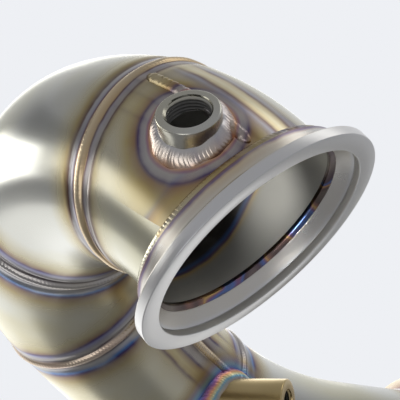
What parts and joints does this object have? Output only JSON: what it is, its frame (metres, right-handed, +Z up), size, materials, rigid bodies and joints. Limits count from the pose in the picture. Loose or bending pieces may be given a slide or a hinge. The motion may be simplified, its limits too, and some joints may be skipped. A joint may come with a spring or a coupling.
{
  "type": "turbo downpipe",
  "caption": "Bent, welded stainless turbo downpipe with a V-band inlet flange, sensor bosses, a braided flexible joint and a loose bolt-on outlet flange.",
  "frame": {"origin": "centre of the inlet flange's sealing face", "axes": "+Y along the gas as it enters, +Z up, the tail pipe level"},
  "size_m": [0.6414, 0.3806, 0.3379],
  "materials": {
    "tube_stainless": "satin, straw tinted near welds",
    "machined_stainless": "turned, semi-bright",
    "heated_stainless": "turned, gold heat tint",
    "weld_bead": "rippled, heat tinted",
    "wire_braid": "woven wire"
  },
  "bodies": {
    "root": {"inlet_flange": "machined_stainless", "inlet_flange_weld": "weld_bead", "inlet_root_weld": "weld_bead", "tube_1": "tube_stainless", "tube_2": "tube_stainless", "tube_3": "tube_stainless", "tube_4": "tube_stainless", "tube_5": "tube_stainless", "tube_joint_weld_1": "weld_bead", "tube_joint_weld_2": "weld_bead", "tube_joint_weld_3": "weld_bead", "tube_joint_weld_4": "weld_bead", "seam_weld_front": "weld_bead", "seam_weld_rear": "weld_bead", "sensor_bung_front": "machined_stainless", "sensor_bung_rear": "heated_stainless", "bung_weld_front": "weld_bead", "bung_weld_rear": "weld_bead", "flex_inlet_weld": "weld_bead", "flex_inlet_collar": "tube_stainless", "flex_liner": "tube_stainless", "flex_bellows": "tube_stainless", "flex_braid": "wire_braid"},
    "tail": {"flex_outlet_collar": "tube_stainless", "flex_outlet_weld": "weld_bead", "tail_tube": "tube_stainless", "outlet_stub": "machined_stainless", "outlet_stub_weld": "weld_bead", "hanger_rod": "tube_stainless", "hanger_weld": "weld_bead"},
    "loose_flange": {"outlet_flange": "machined_stainless"}
  },
  "joints": [
    {"name": "flex_bend", "type": "hinge", "parent": "root", "child": "tail", "pos_m": [0.38046, -0.0788, -0.2123], "axis": [0, 0, 1], "range_deg": [-6, 6], "stiffness_Nm_per_rad": 120, "deforming": ["flex_bellows", "flex_braid"]},
    {"name": "outlet_flange_turn", "type": "hinge", "parent": "tail", "child": "loose_flange", "pos_m": [0.55375, -0.15596, -0.2123], "axis": [0.9135, -0.4068, 0], "continuous": true}
  ]
}
